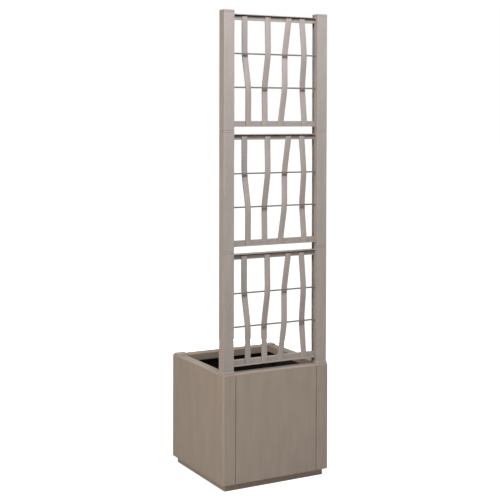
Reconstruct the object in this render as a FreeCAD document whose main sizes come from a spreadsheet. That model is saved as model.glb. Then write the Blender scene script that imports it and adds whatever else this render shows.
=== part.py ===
import FreeCAD, Part
import os
import Sketcher

# A square floor planter with a three-tier trellis, moulded in taupe plastic.
#
# Frame: millimetres, +Z up. The origin is on the ground, under the middle of the box.
# +X runs along the trellis from the left post to the right post. The trellis stands on
# the front edge of the box, at -Y, and +Y runs back across the soil.
#
# How it goes together: a plinth tray carries two side panels that wrap the corners and
# two flat panels that slide between them. A square tube stands in each corner. A rim
# closes the top. The trellis posts end in feet that drop into the two front tubes, and
# the two rear tubes are closed with push-in caps. Each trellis tier is two posts, two
# rails, two rods and four bent slats, and each tier plugs into the one below it.

Vector = FreeCAD.Vector

# Driving sizes in millimetres. Each is set once here and goes to the sheet under its name.
DRIVING_SIZES = {
    # the box
    "box_width": 400,            # left face to right face
    "box_depth": 385,            # front face to back face
    "box_height": 377,           # ground to the top of the rim
    "corner_radius": 8,          # outside vertical corners of the box
    "inner_radius": 5,           # inside of those corners
    "panel_wall": 3,
    "body_lift": 22,             # ground to the lower edge of the panels
    "corner_flange": 47,         # box corner to the upright groove in the front face
    "groove_width": 1.5,
    "groove_chamfer": 0.8,
    "tongue_start": 13,          # from a flat panel's edge inwards to the root of its tongue
    "tongue_reach": 8,           # how far the tongue passes behind the flange
    "tongue_wall": 2,
    "hook_lip": 6,               # how far the hook closes behind the tongue
    "ledge_rise": 5,             # lower edge of a panel to the underside of its ledge
    "ledge_reach": 7,
    "ledge_wall": 3,
    "slide_gap": 0.3,            # clearance of parts that slide into each other
    "press_gap": 0.1,            # clearance of parts pushed together for good
    # the plinth tray
    "plinth_inset": 13,
    "plinth_radius": 6,
    "tray_wall": 3,
    "plug_height": 15,           # tray plug inside a corner tube
    "drain_hole": 10,
    "drain_offset_x": 60,        # the four drain holes of the tray, from the middle
    "drain_offset_y": 60,
    # the rim
    "rim_thickness": 4,
    "rim_side": 34,              # flat width of the rim on the left and right
    "rim_front": 43,             # flat width of the rim on the front and back
    "rim_rounding": 1.5,
    "skirt_height": 22,          # top of the rim to the lower edge of the inner skirt
    "skirt_wall": 2.5,
    "rib_height": 8,             # ribs under the rim that hold the panels' top edges
    "rib_wall": 2.5,
    "rib_half_length": 120,
    # the corner tubes
    "tube_wall": 3,
    # the drain floor
    "floor_height": 55,          # ground to the top of the drain floor
    "floor_plate": 3,
    "floor_margin": 10,          # box face to the edge of the drain floor
    "floor_notch_gap": 2,        # clearance round the corner tubes
    "floor_hole": 8,
    "floor_hole_pitch": 40,
    "leg_diameter": 24,
    "leg_wall": 2,
    "leg_pitch": 120,
    # the posts
    "post_width": 38,
    "post_depth": 34.5,
    "post_wall": 2.5,
    "post_rounding": 1.5,
    "post_inset_side": 5,        # box side face to the post
    "post_inset_front": 6,       # box front face to the post
    "channel_width": 10,         # open channel along the back of the post's inner face
    "seam_chamfer": 1,           # bevels that make the fine grooves between tiers
    # the tiers
    "tier_pitch": 388,
    "collar_height": 7,          # joiner collars and post caps
    "foot_collar_height": 10,
    "foot_collar_overhang": 2,
    "foot_rounding": 3,
    "foot_bevel": 2,
    "rear_cap_height": 5,
    # the spigots
    "foot_spigot_width": 26,
    "foot_spigot_depth": 22,
    "foot_spigot_length": 110,
    "rear_cap_spigot_length": 25,
    "joint_spigot_length": 45,
    "cap_spigot_length": 20,
    "spigot_wall": 2,
    # the rails
    "rail_height": 18.5,
    "rail_drop": 5,              # top of the post to the top of the upper rail
    "rail_lift": 12,             # bottom of the post to the underside of the lower rail
    "flange_front": 9,           # front of the post to the front of the rail flange
    "web_front": 17.5,           # front of the post to the front of the rail web
    "rail_back": 30.5,           # front of the post to the back of the rail
    "rail_wall": 2.5,
    "shadow_gap": 4,             # open groove under the flange of the upper rail
    "tab_reach": 24,             # how far a rail's end reaches into the post channel
    # the rods
    "rod_diameter": 5,
    "rod_depth": 13.2,           # front of the post to the middle of the rods
    "rod_embed": 8,              # how far a rod passes the wall of the post
    # the slats
    "slat_width": 20,
    "slat_front": 13,            # front of the post to the front of the slats at the rails
    "weave_forward": 9,          # how far a slat comes forward where it passes before a rod
    "weave_back": 8.5,           # how far it goes back where it passes behind one
    "slat_bend_reach": 25,       # how far a bend runs above and below its rod
    "peg_diameter": 5,
    "peg_reach": 4.5,
    # where each slat's middle stands at its two ends, from the middle of the trellis
    "slat_one_top": -113, "slat_one_bottom": -97.5,
    "slat_two_top": -25.6, "slat_two_bottom": -36.8,
    "slat_three_top": 54, "slat_three_bottom": 23.2,
    "slat_four_top": 105.3, "slat_four_bottom": 115.2,
}

TIER_COUNT = 3
WINDOW_ROWS = 3
BEND_STEPS = 4
FLOOR_HOLES_EACH_WAY = 8
FLOOR_LEGS_EACH_WAY = 3
CLOSE_ENOUGH = 0.05              # when two edge positions count as the same, in mm
SIDES = {"left": -1, "right": 1}
SLAT_WORDS = ["one", "two", "three", "four"]

document = FreeCAD.newDocument("planter_with_trellis")
sheet = document.addObject("Spreadsheet::Sheet", "sizes")


class Size:
    """A length that carries its number and the sheet formula that gives the number."""

    def __init__(self, number, formula):
        self.number = float(number)
        self.formula = formula

    def _join(self, other, sign, number):
        return Size(number, "(" + self.formula + " " + sign + " " + as_size(other).formula + ")")

    def __add__(self, other):
        return self._join(other, "+", self.number + as_size(other).number)

    def __sub__(self, other):
        return self._join(other, "-", self.number - as_size(other).number)

    def __mul__(self, other):
        return self._join(other, "*", self.number * as_size(other).number)

    def __truediv__(self, other):
        return self._join(other, "/", self.number / as_size(other).number)

    def __neg__(self):
        return self * -1


def as_size(value):
    return value if isinstance(value, Size) else Size(value, "(" + str(value) + ")")


class Sizes:
    """The driving sizes as attributes, each bound to its cell in the sheet."""

    def __init__(self, values):
        for row, (name, value) in enumerate(values.items(), start=1):
            sheet.set("A" + str(row), name)
            sheet.set("B" + str(row), str(value))
            sheet.setAlias("B" + str(row), name)
            setattr(self, name, Size(value, "sizes." + name))


size = Sizes(DRIVING_SIZES)
ZERO = size.box_width * 0

# Sizes that follow from the driving ones.
half_width = size.box_width / 2
half_depth = size.box_depth / 2
rim_underside = size.box_height - size.rim_thickness
ledge_underside = size.body_lift + size.ledge_rise
ledge_top = ledge_underside + size.ledge_wall
flange_end = half_width - size.corner_flange + size.groove_width / 2
panel_edge = half_width - size.corner_flange - size.groove_width / 2
tray_half_width = half_width - size.plinth_inset
tray_half_depth = half_depth - size.plinth_inset
opening_half_width = half_width - size.rim_side
opening_half_depth = half_depth - size.rim_front

post_outer = half_width - size.post_inset_side
post_inner = post_outer - size.post_width
post_middle = post_outer - size.post_width / 2
post_front = -half_depth + size.post_inset_front
cell_depth = size.post_depth - size.post_wall * 3 - size.channel_width
channel_front = size.post_wall * 2 + cell_depth
channel_back = channel_front + size.channel_width
post_height = size.tier_pitch - size.collar_height
first_tier = size.box_height + size.foot_collar_height

tube_half_width = size.foot_spigot_width / 2 + size.slide_gap + size.tube_wall
tube_half_depth = size.foot_spigot_depth / 2 + size.slide_gap + size.tube_wall
tube_middle_y = half_depth - size.post_inset_front - size.post_depth / 2

upper_rail = post_height - size.rail_drop - size.rail_height
lower_rail_top = size.rail_lift + size.rail_height
window_height = upper_rail - lower_rail_top
row_height = window_height / WINDOW_ROWS
lower_rod = lower_rail_top + row_height
upper_rod = upper_rail - row_height
slat_bottom = size.rail_lift + size.rail_wall
slat_top = upper_rail + size.rail_height - size.rail_wall - size.shadow_gap
slat_depth = size.web_front - size.slat_front
slat_before_rod = size.slat_front - size.weave_forward
slat_behind_rod = size.slat_front + size.weave_back
upper_peg = (slat_top + upper_rail) / 2
lower_peg = size.rail_lift + size.rail_height / 2


# ---------------------------------------------------------------- building helpers

def new_body(name, x=ZERO, y=ZERO, z=ZERO, turn=0):
    """A body with its label and its place in the planter's frame."""
    body = document.addObject("PartDesign::Body", name)
    body.Label = name
    place = Vector(x.number, y.number, z.number)
    body.Placement = FreeCAD.Placement(place, FreeCAD.Rotation(Vector(0, 0, 1), turn))
    for axis, value in (("x", x), ("y", y), ("z", z)):
        body.setExpression("Placement.Base." + axis, value.formula)
    return body


def new_sketch(body, name, plane, offset=ZERO):
    """A sketch on one of the body's own planes, shifted along that plane's normal."""
    sketch = body.newObject("Sketcher::SketchObject", name)
    support = [item for item in body.Origin.OriginFeatures if item.Role == plane][0]
    sketch.AttachmentSupport = [(support, "")]
    sketch.MapMode = "FlatFace"
    sketch.AttachmentOffset = FreeCAD.Placement(Vector(0, 0, offset.number), FreeCAD.Rotation())
    sketch.setExpression("AttachmentOffset.Base.z", offset.formula)
    return sketch


def pin(sketch, geometry, point, across, up):
    """Hold one point of a sketch at its distances from the sketch origin."""
    for kind, value in (("DistanceX", across), ("DistanceY", up)):
        rule = Sketcher.Constraint(kind, -1, 1, geometry, point, value.number)
        number = sketch.addConstraint(rule)
        sketch.setExpression("Constraints[" + str(number) + "]", value.formula)


def draw_polygon(sketch, corners):
    """A closed outline through the corners, each given as (across, up)."""
    corners = [(as_size(across), as_size(up)) for across, up in corners]
    first = sketch.GeometryCount
    count = len(corners)
    for index, (across, up) in enumerate(corners):
        next_across, next_up = corners[(index + 1) % count]
        start = Vector(across.number, up.number, 0)
        end = Vector(next_across.number, next_up.number, 0)
        sketch.addGeometry(Part.LineSegment(start, end), False)
    for index in range(count):
        following = first + (index + 1) % count
        sketch.addConstraint(Sketcher.Constraint("Coincident", first + index, 2, following, 1))
    for index, (across, up) in enumerate(corners):
        pin(sketch, first + index, 1, across, up)


def draw_rectangle(sketch, left, right, low, high):
    draw_polygon(sketch, [(left, low), (right, low), (right, high), (left, high)])


def draw_circle(sketch, across, up, diameter):
    middle = Vector(across.number, up.number, 0)
    circle = Part.Circle(middle, Vector(0, 0, 1), diameter.number / 2)
    geometry = sketch.addGeometry(circle, False)
    rule = Sketcher.Constraint("Diameter", geometry, diameter.number)
    number = sketch.addConstraint(rule)
    sketch.setExpression("Constraints[" + str(number) + "]", diameter.formula)
    pin(sketch, geometry, 3, across, up)


def pad(body, sketch, length, reverse=False, both_ways=False):
    feature = body.newObject("PartDesign::Pad", sketch.Name + "_pad")
    feature.Profile = sketch
    feature.setExpression("Length", length.formula)
    feature.Reversed = reverse
    feature.SideType = "Symmetric" if both_ways else "One side"
    sketch.Visibility = False
    document.recompute()
    return feature


def pocket(body, sketch, length=None, reverse=False):
    """Cut the sketch out of the body, to a depth or, without one, right through both ways."""
    before = body.Shape.Volume
    feature = body.newObject("PartDesign::Pocket", sketch.Name + "_pocket")
    feature.Profile = sketch
    feature.Reversed = reverse
    if length is None:
        feature.Type = "ThroughAll"
        feature.SideType = "Symmetric"
    else:
        feature.setExpression("Length", length.formula)
    document.recompute()
    if body.Shape.Volume >= before:
        raise ValueError(sketch.Name + " cuts nothing")
    return feature


def repeat_along_depth(body, feature, sketch, step, count):
    """Repeat a feature in rows along the body's Y axis."""
    rows = body.newObject("PartDesign::LinearPattern", feature.Name + "_rows")
    rows.Originals = [feature]
    rows.Direction = (sketch, ["V_Axis"])
    rows.Occurrences = count
    rows.setExpression("Length", (step * (count - 1)).formula)
    body.Tip = rows
    document.recompute()


def dress(body, kind, size_name, amount, chosen):
    """Round or bevel the edges of the body that pass the test."""
    base = body.Tip
    edges = base.Shape.Edges
    names = ["Edge" + str(i + 1) for i, edge in enumerate(edges) if chosen(edge)]
    if not names:
        raise ValueError(body.Label + " has no edge for its " + kind)
    feature = body.newObject("PartDesign::" + kind, body.Name + "_" + kind.lower())
    feature.Base = (base, names)
    feature.setExpression(size_name, amount.formula)
    document.recompute()


def round_edges(body, radius, chosen):
    dress(body, "Fillet", "Radius", radius, chosen)


def bevel_edges(body, amount, chosen):
    dress(body, "Chamfer", "Size", amount, chosen)


def middle_of(edge):
    return edge.BoundBox.Center


def near(a, b):
    return abs(a - b) < CLOSE_ENOUGH


def is_upright(edge):
    box = edge.BoundBox
    return near(box.XLength, 0) and near(box.YLength, 0)


def upright_at(across, depth):
    """A test for the upright edges at plus or minus these distances from the middle."""
    def chosen(edge):
        point = middle_of(edge)
        on_x = near(abs(point.x), abs(across.number))
        return is_upright(edge) and on_x and near(abs(point.y), abs(depth.number))
    return chosen


def outline_at(height, left, right, front, back):
    """A test for the level edges at one height on the outside of a rectangle."""
    def chosen(edge):
        box = edge.BoundBox
        if not (near(box.ZMin, height.number) and near(box.ZMax, height.number)):
            return False
        sides = [near(box.XMin, left.number), near(box.XMax, right.number)]
        sides += [near(box.YMin, front.number), near(box.YMax, back.number)]
        return any(sides)
    return chosen


# ---------------------------------------------------------------- the box

def build_tray():
    """The plinth tray: recessed walls, a shelf for the panels and four corner plugs."""
    body = new_body("plinth_tray")
    inner_half_width = tray_half_width - size.tray_wall
    inner_half_depth = tray_half_depth - size.tray_wall

    base = new_sketch(body, "tray_floor", "XY_Plane")
    draw_rectangle(base, -tray_half_width, tray_half_width, -tray_half_depth, tray_half_depth)
    pad(body, base, size.tray_wall)

    walls = new_sketch(body, "tray_walls", "XY_Plane")
    draw_rectangle(walls, -tray_half_width, tray_half_width, -tray_half_depth, tray_half_depth)
    draw_rectangle(walls, -inner_half_width, inner_half_width, -inner_half_depth, inner_half_depth)
    pad(body, walls, ledge_underside)
    round_edges(body, size.plinth_radius, upright_at(tray_half_width, tray_half_depth))

    shelf_half_width = half_width - size.panel_wall - size.slide_gap
    shelf_half_depth = half_depth - size.panel_wall - size.slide_gap
    shelf = new_sketch(body, "tray_shelf", "XY_Plane", ledge_underside - size.tray_wall)
    draw_rectangle(shelf, -shelf_half_width, shelf_half_width, -shelf_half_depth, shelf_half_depth)
    draw_rectangle(shelf, -inner_half_width, inner_half_width, -inner_half_depth, inner_half_depth)
    pad(body, shelf, size.tray_wall)
    round_edges(body, size.plinth_radius, upright_at(shelf_half_width, shelf_half_depth))

    pillars = new_sketch(body, "tray_pillars", "XY_Plane")
    plugs = new_sketch(body, "tray_plugs", "XY_Plane", ledge_underside)
    plug_half_width = size.foot_spigot_width / 2
    plug_half_depth = size.foot_spigot_depth / 2
    for side in (-1, 1):
        for end in (-1, 1):
            middle_x = post_middle * side
            middle_y = tube_middle_y * end
            draw_rectangle(pillars, inner_half_width * side,
                           (post_middle - tube_half_width) * side,
                           inner_half_depth * end, (tube_middle_y - tube_half_depth) * end)
            draw_rectangle(plugs, middle_x - plug_half_width, middle_x + plug_half_width,
                           middle_y - plug_half_depth, middle_y + plug_half_depth)
    pad(body, pillars, ledge_top)
    pad(body, plugs, size.ledge_wall + size.plug_height)

    drains = new_sketch(body, "tray_drains", "XY_Plane")
    for side in (-1, 1):
        for end in (-1, 1):
            draw_circle(drains, size.drain_offset_x * side, size.drain_offset_y * end,
                        size.drain_hole)
    pocket(body, drains)
    return body


def build_side_panel(name, turn):
    """A panel that wraps round two corners, with a hooked channel at each flange end."""
    body = new_body(name, turn=turn)
    outer_x = -half_width
    inner_x = -half_width + size.panel_wall
    outer_y = half_depth
    inner_y = half_depth - size.panel_wall
    hook_front = inner_y - size.slide_gap * 2 - size.tongue_wall
    hook_back = hook_front - size.tongue_wall
    hook_web = -panel_edge - size.tongue_reach - size.slide_gap
    hook_root = hook_web - size.tongue_wall
    front_half = [
        (outer_x, -outer_y), (-flange_end, -outer_y), (-flange_end, -inner_y),
        (inner_x, -inner_y),
    ]
    back_half = [(x, -y) for x, y in reversed(front_half)]
    wall = new_sketch(body, name + "_plan", "XY_Plane", size.body_lift)
    draw_polygon(wall, front_half + back_half)
    pad(body, wall, rim_underside - size.body_lift)
    round_edges(body, size.corner_radius, upright_at(outer_x, outer_y))
    round_edges(body, size.inner_radius, upright_at(inner_x, inner_y))
    bevel_edges(body, size.groove_chamfer, upright_at(flange_end, outer_y))

    hooks = new_sketch(body, name + "_hooks", "XY_Plane", ledge_underside)
    for end in (-1, 1):
        draw_polygon(hooks, [
            (hook_root, inner_y * end), (hook_web, inner_y * end), (hook_web, hook_front * end),
            (hook_web + size.hook_lip, hook_front * end),
            (hook_web + size.hook_lip, hook_back * end), (hook_root, hook_back * end),
        ])
    pad(body, hooks, rim_underside - ledge_underside)

    ledge = new_sketch(body, name + "_ledge", "XY_Plane", ledge_underside)
    draw_rectangle(ledge, inner_x, inner_x + size.ledge_reach, -inner_y, inner_y)
    pad(body, ledge, size.ledge_wall)
    return body


def build_flat_panel(name, turn):
    """A flat panel whose two tongues slide down behind the flanges of the side panels."""
    body = new_body(name, turn=turn)
    face = -half_depth
    inside = face + size.panel_wall
    tongue_face = inside + size.slide_gap
    tongue_back = tongue_face + size.tongue_wall
    tongue_end = panel_edge + size.tongue_reach
    root = panel_edge - size.tongue_start

    plan = new_sketch(body, name + "_plan", "XY_Plane", size.body_lift)
    draw_rectangle(plan, -panel_edge, panel_edge, face, inside)
    pad(body, plan, rim_underside - size.body_lift)
    bevel_edges(body, size.groove_chamfer, upright_at(panel_edge, face))

    tongues = new_sketch(body, name + "_tongues", "XY_Plane", ledge_underside)
    for side in (-1, 1):
        draw_polygon(tongues, [
            (panel_edge * side, inside), (panel_edge * side, tongue_face),
            (tongue_end * side, tongue_face), (tongue_end * side, tongue_back),
            (root * side, tongue_back), (root * side, inside),
        ])
    pad(body, tongues, rim_underside - ledge_underside)

    ledge = new_sketch(body, name + "_ledge", "XY_Plane", ledge_underside)
    draw_rectangle(ledge, -root, root, inside, inside + size.ledge_reach)
    pad(body, ledge, size.ledge_wall)
    return body


def build_rim():
    """The rim: a flat frame with an inner skirt, panel ribs and four square sockets."""
    body = new_body("rim_frame")
    plate = new_sketch(body, "rim_plate", "XY_Plane", rim_underside)
    draw_rectangle(plate, -half_width, half_width, -half_depth, half_depth)
    draw_rectangle(plate, -opening_half_width, opening_half_width,
                   -opening_half_depth, opening_half_depth)
    pad(body, plate, size.rim_thickness)
    round_edges(body, size.corner_radius, upright_at(half_width, half_depth))

    skirt = new_sketch(body, "rim_skirt", "XY_Plane", size.box_height - size.skirt_height)
    outer_x = opening_half_width + size.skirt_wall
    outer_y = opening_half_depth + size.skirt_wall
    draw_rectangle(skirt, -outer_x, outer_x, -outer_y, outer_y)
    draw_rectangle(skirt, -opening_half_width, opening_half_width,
                   -opening_half_depth, opening_half_depth)
    pad(body, skirt, size.skirt_height - size.rim_thickness)

    ribs = new_sketch(body, "rim_ribs", "XY_Plane", rim_underside - size.rib_height)
    rib_x = half_width - size.panel_wall - size.slide_gap
    rib_y = half_depth - size.panel_wall - size.slide_gap
    length = size.rib_half_length
    for side in (-1, 1):
        draw_rectangle(ribs, rib_x * side, (rib_x - size.rib_wall) * side, -length, length)
        draw_rectangle(ribs, -length, length, rib_y * side, (rib_y - size.rib_wall) * side)
    pad(body, ribs, size.rib_height)

    sockets = new_sketch(body, "rim_sockets", "XY_Plane", rim_underside)
    reach_x = size.foot_spigot_width / 2 + size.slide_gap
    reach_y = size.foot_spigot_depth / 2 + size.slide_gap
    for side in (-1, 1):
        for end in (-1, 1):
            middle_x = post_middle * side
            middle_y = tube_middle_y * end
            draw_rectangle(sockets, middle_x - reach_x, middle_x + reach_x,
                           middle_y - reach_y, middle_y + reach_y)
    pocket(body, sockets)
    round_edges(body, size.rim_rounding,
                outline_at(size.box_height, -half_width, half_width, -half_depth, half_depth))
    return body


def build_corner_tube(name, side, end):
    """A square tube that stands on the tray in one corner of the box."""
    body = new_body(name, x=post_middle * side, y=tube_middle_y * end, z=ledge_top)
    bore_x = tube_half_width - size.tube_wall
    bore_y = tube_half_depth - size.tube_wall
    plan = new_sketch(body, name + "_plan", "XY_Plane")
    draw_rectangle(plan, -tube_half_width, tube_half_width, -tube_half_depth, tube_half_depth)
    draw_rectangle(plan, -bore_x, bore_x, -bore_y, bore_y)
    pad(body, plan, rim_underside - ledge_top)
    return body


def build_drain_floor():
    """The perforated floor that keeps the soil above the tray, on nine tube legs."""
    body = new_body("drain_floor")
    edge_x = half_width - size.floor_margin
    edge_y = half_depth - size.floor_margin
    notch_x = post_middle - tube_half_width - size.floor_notch_gap
    notch_y = tube_middle_y - tube_half_depth - size.floor_notch_gap
    quarter = [(edge_x, notch_y), (notch_x, notch_y), (notch_x, edge_y)]
    outline = quarter + [(-x, y) for x, y in reversed(quarter)]
    outline += [(-x, -y) for x, y in quarter] + [(x, -y) for x, y in reversed(quarter)]

    plate = new_sketch(body, "floor_plate_plan", "XY_Plane", size.floor_height - size.floor_plate)
    draw_polygon(plate, outline)
    pad(body, plate, size.floor_plate)

    leg_reach = size.leg_pitch * (FLOOR_LEGS_EACH_WAY - 1) / 2
    legs = new_sketch(body, "floor_legs", "XY_Plane", size.tray_wall)
    for index in range(FLOOR_LEGS_EACH_WAY):
        across = size.leg_pitch * index - leg_reach
        draw_circle(legs, across, -leg_reach, size.leg_diameter)
        draw_circle(legs, across, -leg_reach, size.leg_diameter - size.leg_wall * 2)
    leg_row = pad(body, legs, size.floor_height - size.floor_plate - size.tray_wall)
    repeat_along_depth(body, leg_row, legs, size.leg_pitch, FLOOR_LEGS_EACH_WAY)

    hole_reach = size.floor_hole_pitch * (FLOOR_HOLES_EACH_WAY - 1) / 2
    holes = new_sketch(body, "floor_holes", "XY_Plane", size.floor_height)
    for index in range(FLOOR_HOLES_EACH_WAY):
        across = size.floor_hole_pitch * index - hole_reach
        draw_circle(holes, across, -hole_reach, size.floor_hole)
    hole_row = pocket(body, holes, size.floor_plate)
    repeat_along_depth(body, hole_row, holes, size.floor_hole_pitch, FLOOR_HOLES_EACH_WAY)
    return body


def draw_spigot(sketch, middle_x, middle_y, width, depth):
    """The hollow rectangle of a spigot."""
    wall = size.spigot_wall
    for half_x, half_y in ((width / 2, depth / 2), (width / 2 - wall, depth / 2 - wall)):
        draw_rectangle(sketch, middle_x - half_x, middle_x + half_x,
                       middle_y - half_y, middle_y + half_y)


def build_rear_cap(name, side):
    """The push-in cap over an unused corner tube at the back of the box."""
    body = new_body(name, x=post_middle * side, y=tube_middle_y, z=size.box_height)
    half_x = size.post_width / 2
    half_y = size.post_depth / 2
    plate = new_sketch(body, name + "_plate", "XY_Plane")
    draw_rectangle(plate, -half_x, half_x, -half_y, half_y)
    pad(body, plate, size.rear_cap_height)
    round_edges(body, size.post_rounding, upright_at(half_x, half_y))
    round_edges(body, size.seam_chamfer,
                outline_at(size.rear_cap_height, -half_x, half_x, -half_y, half_y))

    spigot = new_sketch(body, name + "_spigot", "XY_Plane", -size.rear_cap_spigot_length)
    draw_spigot(spigot, ZERO, ZERO, size.foot_spigot_width, size.foot_spigot_depth)
    pad(body, spigot, size.rear_cap_spigot_length)
    return body


# ---------------------------------------------------------------- the trellis posts

def post_span(side):
    """The left and right limits of a post on one side of the planter."""
    edges = [post_outer * side, post_inner * side]
    return edges if side < 0 else edges[::-1]


def draw_post_outline(sketch, side):
    """The outside of a post: a rectangle with a channel open to the inner face."""
    outer = post_outer * side
    inner = post_inner * side
    channel_floor = (post_outer - size.post_wall) * side
    draw_polygon(sketch, [
        (outer, ZERO), (inner, ZERO), (inner, channel_front), (channel_floor, channel_front),
        (channel_floor, channel_back), (inner, channel_back), (inner, size.post_depth),
        (outer, size.post_depth),
    ])


def post_corners(side):
    """A test for the four outside upright edges of a post."""
    left, right = post_span(side)

    def chosen(edge):
        point = middle_of(edge)
        on_x = near(point.x, left.number) or near(point.x, right.number)
        on_y = near(point.y, 0) or near(point.y, size.post_depth.number)
        return is_upright(edge) and on_x and on_y
    return chosen


def bevel_post_ends(body, side, heights):
    left, right = post_span(side)
    for height in heights:
        bevel_edges(body, size.seam_chamfer, outline_at(height, left, right, ZERO, size.post_depth))


def cell_spigot(sketch, side, gap):
    """The hollow rectangle of a spigot that fits the closed cell of a post."""
    width = size.post_width - size.post_wall * 2 - gap * 2
    draw_spigot(sketch, post_middle * side, size.post_wall + cell_depth / 2,
                width, cell_depth - gap * 2)


def build_post(name, side, base):
    """One tier's post: a closed cell in front and an open channel behind it."""
    body = new_body(name, y=post_front, z=base)
    left, right = post_span(side)
    plan = new_sketch(body, name + "_plan", "XY_Plane")
    draw_post_outline(plan, side)
    draw_rectangle(plan, left + size.post_wall, right - size.post_wall,
                   size.post_wall, size.post_wall + cell_depth)
    pad(body, plan, post_height)

    holes = new_sketch(body, name + "_rod_holes", "YZ_Plane", post_inner * side)
    for height in (lower_rod, upper_rod):
        draw_circle(holes, size.rod_depth, height, size.rod_diameter + size.press_gap * 2)
    pocket(body, holes, size.post_wall + size.slide_gap, reverse=side > 0)
    round_edges(body, size.post_rounding, post_corners(side))
    bevel_post_ends(body, side, [ZERO, post_height])
    return body


def build_foot(name, side):
    """The foot of a post: a collar on the rim, a spigot below it and one above it."""
    body = new_body(name, y=post_front, z=size.box_height)
    left, right = post_span(side)
    left = left - size.foot_collar_overhang
    right = right + size.foot_collar_overhang
    front = -size.foot_collar_overhang
    back = size.post_depth + size.foot_collar_overhang

    collar = new_sketch(body, name + "_collar", "XY_Plane")
    draw_rectangle(collar, left, right, front, back)
    pad(body, collar, size.foot_collar_height)
    round_edges(body, size.foot_rounding, is_upright)
    bevel_edges(body, size.foot_bevel,
                outline_at(size.foot_collar_height, left, right, front, back))

    lower = new_sketch(body, name + "_lower_spigot", "XY_Plane", -size.foot_spigot_length)
    draw_spigot(lower, post_middle * side, size.post_depth / 2,
                size.foot_spigot_width, size.foot_spigot_depth)
    pad(body, lower, size.foot_spigot_length)

    upper = new_sketch(body, name + "_upper_spigot", "XY_Plane", size.foot_collar_height)
    cell_spigot(upper, side, size.press_gap)
    pad(body, upper, size.joint_spigot_length)
    return body


def build_joiner(name, side, base):
    """The joiner between two tiers: a collar with a spigot above and below it."""
    body = new_body(name, y=post_front, z=base - size.collar_height)
    collar = new_sketch(body, name + "_collar", "XY_Plane")
    draw_post_outline(collar, side)
    pad(body, collar, size.collar_height)
    round_edges(body, size.post_rounding, post_corners(side))
    bevel_post_ends(body, side, [ZERO, size.collar_height])

    lower = new_sketch(body, name + "_lower_spigot", "XY_Plane", -size.joint_spigot_length)
    cell_spigot(lower, side, size.slide_gap)
    pad(body, lower, size.joint_spigot_length)

    upper = new_sketch(body, name + "_upper_spigot", "XY_Plane", size.collar_height)
    cell_spigot(upper, side, size.press_gap)
    pad(body, upper, size.joint_spigot_length)
    return body


def build_post_cap(name, side, base):
    """The cap that closes the top of a post."""
    body = new_body(name, y=post_front, z=base)
    left, right = post_span(side)
    plate = new_sketch(body, name + "_plate", "XY_Plane")
    draw_rectangle(plate, left, right, ZERO, size.post_depth)
    pad(body, plate, size.collar_height)
    round_edges(body, size.post_rounding, post_corners(side))
    bevel_post_ends(body, side, [ZERO, size.collar_height])

    spigot = new_sketch(body, name + "_spigot", "XY_Plane", -size.cap_spigot_length)
    cell_spigot(spigot, side, size.press_gap)
    pad(body, spigot, size.cap_spigot_length)
    return body


# ---------------------------------------------------------------- the trellis infill

def cut_rail_ends(body, name):
    """Leave only the back of the rail where it enters the channels of the posts."""
    shoulder = post_inner - size.slide_gap
    end = post_inner + size.tab_reach
    ends = new_sketch(body, name + "_ends", "XY_Plane")
    for side in (-1, 1):
        draw_rectangle(ends, shoulder * side, (end + size.rail_wall) * side,
                       ZERO, channel_front + size.slide_gap)
    pocket(body, ends)


def drill_peg_holes(body, name, height, stations):
    holes = new_sketch(body, name + "_peg_holes", "XZ_Plane", -size.web_front)
    for across in stations:
        draw_circle(holes, across, height, size.peg_diameter + size.press_gap * 2)
    pocket(body, holes, size.rail_wall + size.slide_gap)


def slat_stations(level):
    """Where the middles of the four slats stand at one level."""
    return [getattr(size, "slat_" + word + "_" + level) for word in SLAT_WORDS]


def build_upper_rail(name, base):
    """The upper rail: a C section with its slot under the front flange."""
    body = new_body(name, y=post_front, z=base + upper_rail)
    wall = size.rail_wall
    top = size.rail_height
    lip_top = top - wall - size.shadow_gap
    section = new_sketch(body, name + "_section", "YZ_Plane")
    draw_polygon(section, [
        (size.flange_front, top), (size.rail_back, top), (size.rail_back, ZERO),
        (size.web_front, ZERO), (size.web_front, lip_top), (size.web_front + wall, lip_top),
        (size.web_front + wall, wall), (size.rail_back - wall, wall),
        (size.rail_back - wall, top - wall), (size.flange_front, top - wall),
    ])
    pad(body, section, (post_inner + size.tab_reach) * 2, both_ways=True)
    cut_rail_ends(body, name)
    drill_peg_holes(body, name, upper_peg - upper_rail, slat_stations("top"))
    return body


def build_lower_rail(name, base):
    """The lower rail: a box section with its flange at the bottom."""
    body = new_body(name, y=post_front, z=base + size.rail_lift)
    wall = size.rail_wall
    top = size.rail_height
    section = new_sketch(body, name + "_section", "YZ_Plane")
    draw_polygon(section, [
        (size.flange_front, ZERO), (size.rail_back, ZERO), (size.rail_back, top),
        (size.web_front, top), (size.web_front, wall), (size.flange_front, wall),
    ])
    draw_rectangle(section, size.web_front + wall, size.rail_back - wall, wall, top - wall)
    pad(body, section, (post_inner + size.tab_reach) * 2, both_ways=True)
    cut_rail_ends(body, name)
    drill_peg_holes(body, name, lower_peg - size.rail_lift, slat_stations("bottom"))
    return body


def build_rod(name, base, height):
    """A plain round rod from post to post, woven with all four slats."""
    body = new_body(name, y=post_front + size.rod_depth, z=base + height)
    section = new_sketch(body, name + "_section", "YZ_Plane")
    draw_circle(section, ZERO, ZERO, size.rod_diameter)
    pad(body, section, (post_inner + size.post_wall + size.rod_embed) * 2, both_ways=True)
    return body


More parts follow.
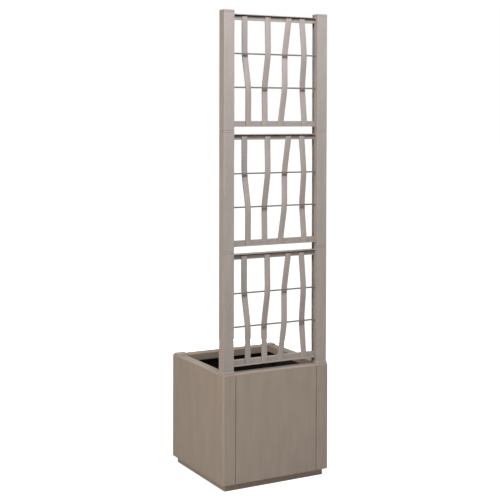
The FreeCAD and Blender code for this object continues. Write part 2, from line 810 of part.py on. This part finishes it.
def soft_bend(depths, heights):
    """Points of a curve that leaves one straight line and joins the next at a rod.

    The height steps evenly from below the rod to above it. The old slope fades with the
    square of the way still to go, and the new slope grows with the square of the way gone.
    """
    reach = size.slat_bend_reach
    slope_below = (depths[1] - depths[0]) / (heights[1] - heights[0])
    slope_above = (depths[2] - depths[1]) / (heights[2] - heights[1])
    points = []
    for step in range(BEND_STEPS + 1):
        gone = step / BEND_STEPS
        left = 1 - gone
        depth = depths[1] - slope_below * reach * (left * left) + slope_above * reach * (gone * gone)
        points.append((depth, heights[1] + reach * (gone - left)))
    return points


def weave_line(front_rod):
    """Where the front of a slat stands in depth, from below its bottom end to above its top.

    The slat is upright along the rails. It passes behind the rod named and before the other.
    """
    lower_depth = slat_behind_rod if front_rod == "lower" else slat_before_rod
    upper_depth = slat_behind_rod if front_rod == "upper" else slat_before_rod
    depths = [size.slat_front, lower_depth, upper_depth, size.slat_front]
    heights = [lower_rail_top + slat_depth, lower_rod, upper_rod, upper_rail - slat_depth]
    line = [(depths[0], slat_bottom - slat_depth), (depths[0], heights[0])]
    line += soft_bend(depths[0:3], heights[0:3]) + soft_bend(depths[1:4], heights[1:4])
    return line + [(depths[3], heights[3]), (depths[3], slat_top + slat_depth)]


def build_slat(name, word, front_rod, base):
    """A slat that leans a little sideways and weaves behind one rod and before the other."""
    body = new_body(name, y=post_front, z=base)
    foot = getattr(size, "slat_" + word + "_bottom")
    head = getattr(size, "slat_" + word + "_top")
    half = size.slat_width / 2
    face = new_sketch(body, name + "_face", "XZ_Plane", -slat_before_rod)
    draw_polygon(face, [(foot - half, slat_bottom), (foot + half, slat_bottom),
                        (head + half, slat_top), (head - half, slat_top)])
    pad(body, face, slat_behind_rod + slat_depth - slat_before_rod, reverse=True)

    front = weave_line(front_rod)
    back = [(y + slat_depth, z) for y, z in front]
    weave = new_sketch(body, name + "_weave", "YZ_Plane")
    for edge, clear in ((front, slat_before_rod - slat_depth), (back, slat_behind_rod + slat_depth * 2)):
        draw_polygon(weave, [(clear, edge[0][1])] + edge + [(clear, edge[-1][1])])
    pocket(body, weave)

    pegs = new_sketch(body, name + "_pegs", "XZ_Plane", -size.web_front)
    draw_circle(pegs, foot, lower_peg, size.peg_diameter)
    draw_circle(pegs, head, upper_peg, size.peg_diameter)
    pad(body, pegs, size.peg_reach, reverse=True)
    return body


def build_tier(number):
    """One complete tier of the trellis."""
    base = first_tier + size.tier_pitch * (number - 1)
    prefix = "tier_" + str(number) + "_"
    bodies = [build_post(prefix + "post_" + name, side, base) for name, side in SIDES.items()]
    bodies.append(build_upper_rail(prefix + "upper_rail", base))
    bodies.append(build_lower_rail(prefix + "lower_rail", base))
    bodies.append(build_rod(prefix + "upper_rod", base, upper_rod))
    bodies.append(build_rod(prefix + "lower_rod", base, lower_rod))
    for index, word in enumerate(SLAT_WORDS):
        front_rod = "upper" if index % 2 == 0 else "lower"
        bodies.append(build_slat(prefix + "slat_" + word, word, front_rod, base))
    return bodies


# ---------------------------------------------------------------- the whole planter

def build_box():
    bodies = [
        build_tray(),
        build_side_panel("left_panel", 0),
        build_side_panel("right_panel", 180),
        build_flat_panel("front_panel", 0),
        build_flat_panel("back_panel", 180),
        build_rim(),
        build_drain_floor(),
    ]
    for side_name, side in SIDES.items():
        bodies.append(build_corner_tube("front_" + side_name + "_tube", side, -1))
        bodies.append(build_corner_tube("back_" + side_name + "_tube", side, 1))
        bodies.append(build_rear_cap("rear_cap_" + side_name, side))
    return bodies


def build_trellis():
    bodies = []
    for number in range(1, TIER_COUNT + 1):
        bodies += build_tier(number)
    for side_name, side in SIDES.items():
        bodies.append(build_foot("foot_" + side_name, side))
        for number in range(2, TIER_COUNT + 1):
            base = first_tier + size.tier_pitch * (number - 1)
            bodies.append(build_joiner("joiner_" + str(number - 1) + "_" + side_name, side, base))
        top = first_tier + size.tier_pitch * TIER_COUNT - size.collar_height
        bodies.append(build_post_cap("post_cap_" + side_name, side, top))
    return bodies


def check_document(bodies):
    """Stop before anything is written if a feature or a shape has failed."""
    for item in document.Objects:
        if "Invalid" in item.State or "Error" in item.State:
            raise ValueError(item.Label + " failed: " + str(item.State))
    for body in bodies:
        shape = body.Shape
        if shape.isNull() or not shape.isValid() or len(shape.Solids) != 1:
            raise ValueError(body.Label + " is not one valid solid")


def write_parts(bodies):
    os.makedirs("parts", exist_ok=True)
    for body in bodies:
        body.Shape.exportStep("parts/" + body.Label + ".step")
        print(body.Label, round(body.Shape.Volume / 1000, 1), "cm3")


all_bodies = build_box() + build_trellis()
document.recompute()
check_document(all_bodies)
write_parts(all_bodies)
print(len(all_bodies), "pieces written")
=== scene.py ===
# %% [markdown]
# # A planter with a three-tier trellis
# The planter's real shape comes from its construction model: box, posts, rails and plugs are
# already there as exact solids. This lesson dresses them. We add the camera and the light of
# the product photograph, give every moulded piece its brushed plastic, and make anew the
# pieces whose soft edges and bends matter most: the slats and the rods of the trellis.

# %% Load the construction model
import math
import bpy
import numpy as np
from mathutils import Matrix, Vector


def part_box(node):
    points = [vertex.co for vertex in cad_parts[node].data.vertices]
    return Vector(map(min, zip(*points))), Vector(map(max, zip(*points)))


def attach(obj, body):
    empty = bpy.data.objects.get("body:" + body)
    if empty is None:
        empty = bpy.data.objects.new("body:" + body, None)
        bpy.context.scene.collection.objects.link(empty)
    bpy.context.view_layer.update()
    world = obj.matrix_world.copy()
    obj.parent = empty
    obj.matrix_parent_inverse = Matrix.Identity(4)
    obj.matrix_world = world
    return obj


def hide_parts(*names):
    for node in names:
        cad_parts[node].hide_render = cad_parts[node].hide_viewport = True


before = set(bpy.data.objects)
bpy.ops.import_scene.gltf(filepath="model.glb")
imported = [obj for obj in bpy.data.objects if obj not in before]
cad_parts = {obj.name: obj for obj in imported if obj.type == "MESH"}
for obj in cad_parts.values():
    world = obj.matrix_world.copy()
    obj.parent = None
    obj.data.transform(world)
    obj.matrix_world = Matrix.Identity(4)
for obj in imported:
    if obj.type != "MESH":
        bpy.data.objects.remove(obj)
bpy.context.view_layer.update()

# %% [markdown]
# ## The camera
# The photograph shows the near left corner, taken from 1.2 m above the ground and nearly
# four metres away. Such a long lens keeps the uprights almost parallel. The camera points
# nearly level, and the lens is shifted down to bring the ground into the frame. A shift
# keeps uprights upright, which tilting the camera would not.

# %% Set up the camera
CAMERA_PLACE = (-1.84386, -3.34896, 1.21384)
YAW, PITCH, ROLL = math.radians(28.872), math.radians(0.960), math.radians(0.12)
FOCAL_PIXELS, FRAME_PIXELS = 1116.72, 500
AXIS_ROW = 133.5                  # the picture row that the lens axis meets
SENSOR_WIDTH = 36

ahead = (math.sin(YAW) * math.cos(PITCH), math.cos(YAW) * math.cos(PITCH), -math.sin(PITCH))
looking = Vector(ahead)
level = Vector((math.cos(YAW), -math.sin(YAW), 0))
upward = level.cross(looking)
right = level * math.cos(ROLL) + upward * math.sin(ROLL)
over = upward * math.cos(ROLL) - level * math.sin(ROLL)

lens = bpy.data.cameras.new("portrait_camera")
lens.sensor_width = SENSOR_WIDTH
lens.lens = FOCAL_PIXELS / FRAME_PIXELS * lens.sensor_width
lens.shift_y = (AXIS_ROW - FRAME_PIXELS / 2) / FRAME_PIXELS
camera = bpy.data.objects.new("portrait_camera", lens)
axes = Matrix((right, over, -looking)).transposed().to_4x4()
camera.matrix_world = Matrix.Translation(CAMERA_PLACE) @ axes
bpy.context.scene.collection.objects.link(camera)
bpy.context.scene.camera = camera
print("lens", round(lens.lens, 1), "mm, shift", round(lens.shift_y, 3))

# %% [markdown]
# ## The floor
# A product like this is shown on white. The floor is a wide pale sheet. What the camera sees
# of it also glows a little, so that it meets the white backdrop without a horizon. The glow
# is for camera rays only: the planter is lit by the pale sheet alone, without the glow.

# %% Lay the floor
FLOOR_REACH = 30
FLOOR_TONE = (0.4, 0.4, 0.4, 1)
FLOOR_GLOW = (0.85, 0.85, 0.85, 1)
FLOOR_ROUGHNESS = 0.9

floor_mesh = bpy.data.meshes.new("pale_floor")
floor_corners = [(x * FLOOR_REACH, y * FLOOR_REACH, 0) for x, y in ((-1, -1), (1, -1), (1, 1), (-1, 1))]
floor_mesh.from_pydata(floor_corners, [], [(0, 1, 2, 3)])
floor = bpy.data.objects.new("pale_floor", floor_mesh)
bpy.context.scene.collection.objects.link(floor)

floor_finish = bpy.data.materials.new("pale_floor")
floor_finish.use_nodes = True
floor_tree = floor_finish.node_tree
floor_shader = floor_tree.nodes["Principled BSDF"]
floor_shader.inputs["Base Color"].default_value = FLOOR_TONE
floor_shader.inputs["Roughness"].default_value = FLOOR_ROUGHNESS
floor_shader.inputs["Emission Color"].default_value = FLOOR_GLOW
floor_sight = floor_tree.nodes.new("ShaderNodeLightPath")
floor_tree.links.new(floor_sight.outputs["Is Camera Ray"], floor_shader.inputs["Emission Strength"])
floor_mesh.materials.append(floor_finish)
print("floor of", 2 * FLOOR_REACH, "metres")

# %% [markdown]
# ## The lights
# In the photograph the posts are pale and cool at the top, and grow darker and warmer towards
# the ground. So two soft, slightly cool lights hang high in front, close to the top of the
# trellis, and the left one is much the stronger. A broad neutral light stands at the left,
# low enough to brighten that side of the box. A small one near the ground keeps the back
# readable without grazing the rim.

# %% Hang the lights
COOL, NEUTRAL = (0.92, 1.0, 1.22), (1, 1, 1)
TRELLIS_SPOT, BOX_SPOT = (0, -0.19, 1.1), (0, 0, 0.5)
LAMPS = {                         # place, what it faces, size in metres, power in watts, colour
    "high_left_light": ((-0.5, -1.5, 2.9), TRELLIS_SPOT, 0.6, 58, COOL),
    "high_right_light": ((0.5, -1.6, 2.7), TRELLIS_SPOT, 0.6, 11, COOL),
    "side_light": ((-2.0, -0.6, 1.1), BOX_SPOT, 1.0, 20, NEUTRAL),
    "back_light": ((1.0, 2.0, 0.25), BOX_SPOT, 0.5, 14, NEUTRAL),
}


def soft_light(name, place, target, size, power, colour):
    """A square area light that hangs at a place and faces a target."""
    lamp = bpy.data.lights.new(name, "AREA")
    lamp.color = colour
    lamp.size = size
    lamp.energy = power
    holder = bpy.data.objects.new(name, lamp)
    holder.location = place
    holder.rotation_euler = (Vector(target) - Vector(place)).to_track_quat("-Z", "Y").to_euler()
    bpy.context.scene.collection.objects.link(holder)


for name, settings in LAMPS.items():
    soft_light(name, *settings)

# %% [markdown]
# ## The white room
# The rest of the light comes from the room. It is bright above and almost dark below, which
# shades the undersides of rails and rim as in the photograph. The strength follows the height
# of each direction through a Map Range node. The camera sees a plain white backdrop instead,
# and the Standard view keeps that white at its full value.

# %% Paint the room
WHITE = (1, 1, 1, 1)
DIM_HEIGHT, BRIGHT_HEIGHT = -0.15, 0.25      # heights of a direction, as its Z
DIM_STRENGTH, BRIGHT_STRENGTH = 0.03, 0.58

world = bpy.data.worlds.new("white_room")
world.use_nodes = True
bpy.context.scene.world = world
room = world.node_tree
fill = room.nodes["Background"]
fill.inputs["Color"].default_value = WHITE
direction = room.nodes.new("ShaderNodeTexCoord")
height = room.nodes.new("ShaderNodeSeparateXYZ")
rise = room.nodes.new("ShaderNodeMapRange")
rise.inputs["From Min"].default_value = DIM_HEIGHT
rise.inputs["From Max"].default_value = BRIGHT_HEIGHT
rise.inputs["To Min"].default_value = DIM_STRENGTH
rise.inputs["To Max"].default_value = BRIGHT_STRENGTH
room.links.new(direction.outputs["Generated"], height.inputs[0])
room.links.new(height.outputs["Z"], rise.inputs["Value"])
room.links.new(rise.outputs[0], fill.inputs["Strength"])

backdrop = room.nodes.new("ShaderNodeBackground")
backdrop.inputs["Color"].default_value = WHITE
backdrop.inputs["Strength"].default_value = 1
sight = room.nodes.new("ShaderNodeLightPath")
choose = room.nodes.new("ShaderNodeMixShader")
room.links.new(sight.outputs["Is Camera Ray"], choose.inputs[0])
room.links.new(fill.outputs[0], choose.inputs[1])
room.links.new(backdrop.outputs[0], choose.inputs[2])
room.links.new(choose.outputs[0], room.nodes["World Output"].inputs[0])
bpy.context.scene.view_settings.view_transform = "Standard"
print("room light from", DIM_STRENGTH, "below to", BRIGHT_STRENGTH, "above")

# %% [markdown]
# ## Helpers for shader nodes
# Three small helpers keep the materials readable: one adds a socket to a node group, one
# makes an arithmetic node, and one makes noise that is stretched into streaks.

# %% Define the node helpers
def new_socket(group, name, kind, direction, value=None):
    """A named input or output of a node group, with its default value if it has one."""
    socket = group.interface.new_socket(name=name, in_out=direction, socket_type=kind)
    if value is not None:
        socket.default_value = value


def math_node(group, operation, *values):
    """One arithmetic step. Each value is a number or a socket to link."""
    node = group.nodes.new("ShaderNodeMath")
    node.operation = operation
    for slot, value in zip(node.inputs, values):
        if isinstance(value, (int, float)):
            slot.default_value = value
        else:
            group.links.new(value, slot)
    return node.outputs[0]


def streak_noise(group, vector, across, along, detail):
    """Noise whose spots are long along Z and thin across it, in spots per metre."""
    stretch = group.nodes.new("ShaderNodeMapping")
    stretch.inputs["Scale"].default_value = (across, across, along)
    group.links.new(vector, stretch.inputs["Vector"])
    noise = group.nodes.new("ShaderNodeTexNoise")
    noise.inputs["Scale"].default_value = 1
    noise.inputs["Detail"].default_value = detail
    group.links.new(stretch.outputs[0], noise.inputs["Vector"])
    return noise.outputs["Fac"]


print("helpers: new_socket, math_node, streak_noise")

# %% [markdown]
# ## The brushed grain
# The plastic is moulded with a fine streaky grain, like brushed timber. The streaks run along
# each piece: upright on panels, posts and slats, level on the rails. We build the effect once
# as a node group. It stretches two noises along the piece, a fine one for the brush marks and
# a broad one for the slow drift of tone, and puts out a colour, a roughness and a height.

# %% Build the grain as a node group
BRUSH_MARKS, DRIFT_MARKS = (420, 8, 3), (38, 9, 4)     # across, along, detail
BRUSH_SHARE, DRIFT_SHARE = 0.45, 0.55
NOISE_MIDDLE = 0.5
LEAST_ROUGHNESS, ROUGHNESS_CHANGE = 0.50, 0.16

grain = bpy.data.node_groups.new("brushed_grain", "ShaderNodeTree")
new_socket(grain, "Along Z", "NodeSocketVector", "INPUT")
new_socket(grain, "Plastic", "NodeSocketColor", "INPUT", (0.3, 0.25, 0.22, 1))
new_socket(grain, "Tone Change", "NodeSocketFloat", "INPUT", 0.2)
new_socket(grain, "Colour", "NodeSocketColor", "OUTPUT")
new_socket(grain, "Roughness", "NodeSocketFloat", "OUTPUT")
new_socket(grain, "Height", "NodeSocketFloat", "OUTPUT")
source = grain.nodes.new("NodeGroupInput")
result = grain.nodes.new("NodeGroupOutput")

brush = streak_noise(grain, source.outputs["Along Z"], *BRUSH_MARKS)
drift = streak_noise(grain, source.outputs["Along Z"], *DRIFT_MARKS)
fine_part = math_node(grain, "MULTIPLY", brush, BRUSH_SHARE)
broad_part = math_node(grain, "MULTIPLY", drift, DRIFT_SHARE)
streaks = math_node(grain, "SUBTRACT", math_node(grain, "ADD", fine_part, broad_part), NOISE_MIDDLE)
shade = math_node(grain, "ADD", math_node(grain, "MULTIPLY", streaks, source.outputs["Tone Change"]), 1)
roughness = math_node(grain, "MULTIPLY_ADD", brush, ROUGHNESS_CHANGE, LEAST_ROUGHNESS)
tint = grain.nodes.new("ShaderNodeVectorMath")
tint.operation = "SCALE"
grain.links.new(source.outputs["Plastic"], tint.inputs[0])
grain.links.new(shade, tint.inputs["Scale"])
grain.links.new(tint.outputs[0], result.inputs["Colour"])
grain.links.new(roughness, result.inputs["Roughness"])
grain.links.new(brush, result.inputs["Height"])
print("grain group with", len(grain.nodes), "nodes")

# %% [markdown]
# ## The painted shade inside the box
# Looking down past the rim, the inside of the box lies in deep shade, and this shade is painted
# as a near-black colour. A panel is one solid, with its outer face in taupe and its inner face
# painted near-black, so its material has to tell the two apart. The mask compares Object
# coordinates with the rim's box: it is 1 for points that lie deeper than the wall's skin and below the
# rim's skirt.

# %% Define the mask of the painted inner shade
WALL_SKIN, SKIRT_OVERLAP = 0.0025, 0.001
rim_low, rim_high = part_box("rim_frame")
INNER_X, INNER_Y = rim_high[0] - WALL_SKIN, rim_high[1] - WALL_SKIN
SKIRT_FOOT = rim_low[2] + SKIRT_OVERLAP


def painted_shade_mask(tree, place):
    """1 where shade is painted: inside the box, below the rim's skirt; 0 everywhere else."""
    parts = tree.nodes.new("ShaderNodeSeparateXYZ")
    tree.links.new(place.outputs["Object"], parts.inputs[0])
    beside = math_node(tree, "LESS_THAN", math_node(tree, "ABSOLUTE", parts.outputs["X"]), INNER_X)
    before = math_node(tree, "LESS_THAN", math_node(tree, "ABSOLUTE", parts.outputs["Y"]), INNER_Y)
    below = math_node(tree, "LESS_THAN", parts.outputs["Z"], SKIRT_FOOT)
    return math_node(tree, "MULTIPLY", math_node(tree, "MULTIPLY", beside, before), below)


print("dark within x", round(INNER_X, 4), "and y", round(INNER_Y, 4), "below z", round(SKIRT_FOOT, 4))

# %% [markdown]
# ## The recipe for the plastics
# One recipe makes every plastic here: the grain group feeds colour, roughness and a slight
# bump, and the shader stays in the material. The pattern reads Object coordinates, which are
# metres on the real piece, so the streaks have the same width everywhere. For a rail we turn
# the coordinates first, so that its streaks run along X.

# %% Define the recipe
UPRIGHT, LEVEL = (0, 0, 0), (0, math.radians(90), 0)
# Near-black colour for the painted shade inside the box, where the rim keeps the light out.
PAINTED_SHADE_COLOUR = (0.018, 0.016, 0.014)
TONE_CHANGE = 0.5
SHEEN_LEVEL = 0.4
BRUSH_RELIEF, BRUSH_HEIGHT = 0.25, 0.0002


def brushed_plastic(name, colour, turn=UPRIGHT, painted_shade_inside=False):
    """A matt moulded plastic with its brush marks along one direction; with the flag for the inside
    set, its inner faces get a near-black painted shade.
    """
    finish = bpy.data.materials.new(name)
    finish.use_nodes = True
    tree = finish.node_tree
    shader = tree.nodes["Principled BSDF"]
    shader.inputs["Specular IOR Level"].default_value = SHEEN_LEVEL
    place = tree.nodes.new("ShaderNodeTexCoord")
    turned = tree.nodes.new("ShaderNodeMapping")
    turned.inputs["Rotation"].default_value = turn
    tree.links.new(place.outputs["Object"], turned.inputs["Vector"])
    marks = tree.nodes.new("ShaderNodeGroup")
    marks.node_tree = grain
    marks.inputs["Plastic"].default_value = (*colour, 1)
    marks.inputs["Tone Change"].default_value = TONE_CHANGE
    tree.links.new(turned.outputs[0], marks.inputs["Along Z"])
    tree.links.new(marks.outputs["Colour"], shader.inputs["Base Color"])
    # Painted shade: the mask mixes the near-black colour into the inner faces.
    if painted_shade_inside:
        darken = tree.nodes.new("ShaderNodeMix")
        darken.data_type = "RGBA"
        darken.inputs["B"].default_value = (*PAINTED_SHADE_COLOUR, 1)
        tree.links.new(painted_shade_mask(tree, place), darken.inputs["Factor"])
        tree.links.new(marks.outputs["Colour"], darken.inputs["A"])
        tree.links.new(darken.outputs["Result"], shader.inputs["Base Color"])
    tree.links.new(marks.outputs["Roughness"], shader.inputs["Roughness"])
    relief = tree.nodes.new("ShaderNodeBump")
    relief.inputs["Strength"].default_value = BRUSH_RELIEF
    relief.inputs["Distance"].default_value = BRUSH_HEIGHT
    tree.links.new(marks.outputs["Height"], relief.inputs["Height"])
    tree.links.new(relief.outputs["Normal"], shader.inputs["Normal"])
    return finish


print("brush marks", BRUSH_HEIGHT * 1000, "mm high at", BRUSH_RELIEF, "strength")

# %% [markdown]
# ## The plastics
# The box is taupe and the trellis a little paler. The rods get a darker brown, which is painted
# shade: it stands in for their shaded undersides and the shadow under them, and keeps the thin rods
# from being washed out by the white behind them. Each colour is mixed once for upright grain, once for
# level grain, or both, as its pieces need.

# %% Mix the plastics
TAUPE = (0.286, 0.219, 0.159)
PALE_TAUPE = (0.306, 0.250, 0.202)
# Darker brown of the rods: painted shade for their undersides and the shadow below them.
ROD_PAINTED_SHADE = (0.150, 0.126, 0.104)

# The panels paint near-black shade on their inner faces.
taupe_painted_shade_inside = brushed_plastic("taupe_painted_shade_inside_grain", TAUPE, painted_shade_inside=True)
taupe_level = brushed_plastic("taupe_level_grain", TAUPE, turn=LEVEL)
pale_upright = brushed_plastic("pale_upright_grain", PALE_TAUPE)
pale_level = brushed_plastic("pale_level_grain", PALE_TAUPE, turn=LEVEL)
shaded_level = brushed_plastic("shaded_level_grain", ROD_PAINTED_SHADE, turn=LEVEL)
# Near-black painted shade for the hidden inner pieces.
painted_shade_inner = brushed_plastic("painted_shade_inner_plastic", PAINTED_SHADE_COLOUR)
print("plastics:", [m.name for m in bpy.data.materials])

# %% [markdown]
# ## Dress the solids
# The solids keep their shapes and only trade their plain material for the right plastic.
# The drain floor and the corner tubes hide inside and are painted near-black, as shade. The rim,
# the plinth and the rails are level pieces, the panels get painted shade on their inner faces,
# and the rest of the trellis has upright grain.

# %% Give each solid its plastic
def plastic_for(name):
    """The material that suits a node, found from its name."""
    # Painted shade: the hidden inner pieces take the near-black colour.
    if name == "drain_floor" or name.endswith("_tube"):
        return painted_shade_inner
    if name in ("rim_frame", "plinth_tray"):
        return taupe_level
    if name.endswith("_panel"):
        return taupe_painted_shade_inside
    return pale_level if name.endswith("_rail") else pale_upright


for name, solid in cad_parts.items():
    for index in range(len(solid.material_slots)):
        solid.material_slots[index].material = plastic_for(name)
print("dressed", len(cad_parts), "solids")

# %% [markdown]
# ## A surface from a grid
# A slat or a rod is one closed outline carried along a path. With numpy we work out all its
# points at once, as an array with a row for each station on the path and a column for each
# point of the outline. The helper turns such an array into a closed mesh: quads between the
# rows, and one flat face at each end. Faces meeting at more than 35 degrees stay crisp.

# %% Define the grid helper
CRISP_ANGLE = math.radians(35)


def closed_tube(name, points, body, finish):
    """A mesh from points[station, corner, xyz], joined round the outline and along the path."""
    stations, corners = points.shape[:2]
    row = np.arange(stations - 1)[:, None] * corners
    here = np.arange(corners)
    beside = (here + 1) % corners
    quads = np.stack([row + here, row + beside, row + corners + beside, row + corners + here], -1)
    faces = quads.reshape(-1, 4).tolist()
    faces.append(here[::-1].tolist())
    faces.append(((stations - 1) * corners + here).tolist())
    mesh = bpy.data.meshes.new(name)
    mesh.from_pydata(points.reshape(-1, 3).tolist(), [], faces)
    mesh.validate()
    mesh.polygons.foreach_set("use_smooth", np.ones(len(mesh.polygons), bool))
    mesh.set_sharp_from_angle(angle=CRISP_ANGLE)
    mesh.materials.append(finish)
    piece = bpy.data.objects.new(name, mesh)
    bpy.context.scene.collection.objects.link(piece)
    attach(piece, body)
    return piece


print("faces stay crisp above", round(math.degrees(CRISP_ANGLE)), "degrees")

# %% [markdown]
# ## The shape of a slat
# Each slat is a flat strip. Seen from the front it is straight and leans a little, and seen
# from the side it weaves: it passes behind one rod and in front of the other. We measure
# rods and rails on the construction model, and keep as numbers only what it can't tell us,
# such as where the middle of each slat stands at its two ends.

# %% Name the slats' sizes
TIERS = (1, 2, 3)
RODS = ("lower", "upper")
SLAT_ENDS = {                     # the middle's x at the foot and at the top
    "one": (-0.0975, -0.1130),
    "two": (-0.0368, -0.0256),
    "three": (0.0232, 0.0540),
    "four": (0.1152, 0.1053),
}
BEHIND = {"one": "upper", "two": "lower", "three": "upper", "four": "lower"}
SLAT_WIDTH, SLAT_DEPTH, EDGE_RADIUS = 0.020, 0.0045, 0.0011
SLAT_FRONT = 0.013                # from the posts' fronts to the slat's front, at the rails
WEAVE_FORWARD, WEAVE_BACK, BEND_REACH = 0.009, 0.0085, 0.025
EDGE_STEPS, BEND_STATIONS = 4, 21


def middle_of(name):
    """The middle of a node's box, as x, y and z."""
    return np.mean(np.array(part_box(name)), axis=0)


POST_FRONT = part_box("tier_1_post_left")[0][1]
print("slats pass behind:", BEHIND, "and the posts' fronts stand at y", round(POST_FRONT, 4))

# %% [markdown]
# ## The weave
# The path in depth is straight between the rods, and a parabola eases one slope into the
# next. It is a plain function of the height, so numpy can work it out for all heights at
# once. At the rails the slat turns upright to lie flat against them.

# %% Work out the weave
def weave(heights, marks, depths):
    """Depth of a slat's front: straight lines between the marks, with parabolas at the rods.

    Within the bend's reach of a rod, the old slope fades with the square of the way still
    to go and the new slope grows with the square of the way gone.
    """
    path = np.interp(heights, marks, depths)
    slopes = np.diff(depths) / np.diff(marks)
    for rod in (1, 2):
        gone = np.clip((heights - marks[rod]) / BEND_REACH / 2 + 0.5, 0, 1)
        eased = depths[rod] - slopes[rod - 1] * BEND_REACH * (1 - gone) ** 2
        eased = eased + slopes[rod] * BEND_REACH * gone ** 2
        path = np.where(np.abs(heights - marks[rod]) < BEND_REACH, eased, path)
    return path


even_marks = np.linspace(0, 1, 4)
sample = weave(even_marks, even_marks, np.array([0, -WEAVE_FORWARD, WEAVE_BACK, 0]))
print("a weave in metres, at a rail, two rods and a rail:", sample.round(4))

# %% [markdown]
# ## The slat's outline
# A section of the slat is a flat oblong. Its two front edges are rounded, because they catch
# the light. The back edges stay square, as they are on the moulded piece.

# %% Draw the outline
def slat_outline():
    """Corners of the section as (across, depth): back left, rounded front, back right.

    Each rounded edge is a quarter circle: its radius times one less the cosine of the turn
    in from the side, and times one less the sine of the turn back from the front.
    """
    half = SLAT_WIDTH / 2
    turn = np.linspace(0, math.pi / 2, EDGE_STEPS + 1)
    left = np.c_[-half + EDGE_RADIUS * (1 - np.cos(turn)), EDGE_RADIUS * (1 - np.sin(turn))]
    mirrored = np.c_[-left[::-1, 0], left[::-1, 1]]
    return np.r_[[(-half, SLAT_DEPTH)], left, mirrored, [(half, SLAT_DEPTH)]]


print("outline of", len(slat_outline()), "corners")

# %% [markdown]
# ## The slats
# We carry the outline up the lean and the weave at once. Stations are closer together at the
# bends, where the path turns.

# %% Shape and place the slats
def make_slat(tier, word):
    """Carry the outline up a straight lean in x and the weave in y."""
    prefix = "tier_%d_" % tier
    name = prefix + "slat_" + word
    foot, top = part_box(name)[0][2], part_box(name)[1][2]
    rod_heights = [middle_of(prefix + rod + "_rod")[2] for rod in RODS]
    low_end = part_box(prefix + "lower_rail")[1][2] + SLAT_DEPTH
    high_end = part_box(prefix + "upper_rail")[0][2] - SLAT_DEPTH

    shifts = [WEAVE_BACK if rod == BEHIND[word] else -WEAVE_FORWARD for rod in RODS]
    depths = POST_FRONT + SLAT_FRONT + np.array([0, *shifts, 0])
    bends = [np.linspace(-BEND_REACH, BEND_REACH, BEND_STATIONS) + rod for rod in rod_heights]
    levels = np.unique(np.r_[foot, low_end, bends[0], bends[1], high_end, top])
    section = slat_outline()
    across = np.interp(levels, [foot, top], SLAT_ENDS[word])
    inwards = weave(levels, np.array([low_end, *rod_heights, high_end]), depths)
    x = across[:, None] + section[None, :, 0]
    y = inwards[:, None] + section[None, :, 1]
    z = np.repeat(levels[:, None], len(section), 1)
    points = np.stack([x, y, z], -1)
    piece = closed_tube("woven_" + name, points, "trellis_tier_%d" % tier, pale_upright)
    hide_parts(name)
    return piece


slats = [make_slat(tier, word) for tier in TIERS for word in SLAT_ENDS]
print(len(slats), "slats of", len(slats[0].data.vertices), "points each")

# %% [markdown]
# ## The rods
# A rod is the simplest swept surface: a circle carried along X. Its radius shrinks at both
# ends in a short cone, because the real rods are cut and broken at the edge so that they
# slide into their holes.

# %% Turn the rods
ROD_SIDES, ROD_CHAMFER = 32, 0.0006


def make_rod(tier, word):
    """Points on circles round the rod's axis: radius times cosine in y, times sine in z."""
    name = "tier_%d_%s_rod" % (tier, word)
    low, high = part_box(name)
    full = (high[2] - low[2]) / 2
    narrow = full - ROD_CHAMFER
    stations = np.array([low[0], low[0] + ROD_CHAMFER, high[0] - ROD_CHAMFER, high[0]])
    radius = np.array([narrow, full, full, narrow])
    angle = np.linspace(0, 2 * math.pi, ROD_SIDES, endpoint=False)
    middle = middle_of(name)
    x = np.repeat(stations[:, None], ROD_SIDES, 1)
    y = middle[1] + radius[:, None] * np.cos(angle)
    z = middle[2] + radius[:, None] * np.sin(angle)
    points = np.stack([x, y, z], -1)
    piece = closed_tube("round_" + name, points, "trellis_tier_%d" % tier, shaded_level)
    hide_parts(name)
    return piece


rods = [make_rod(tier, word) for tier in TIERS for word in RODS]
print(len(rods), "rods")
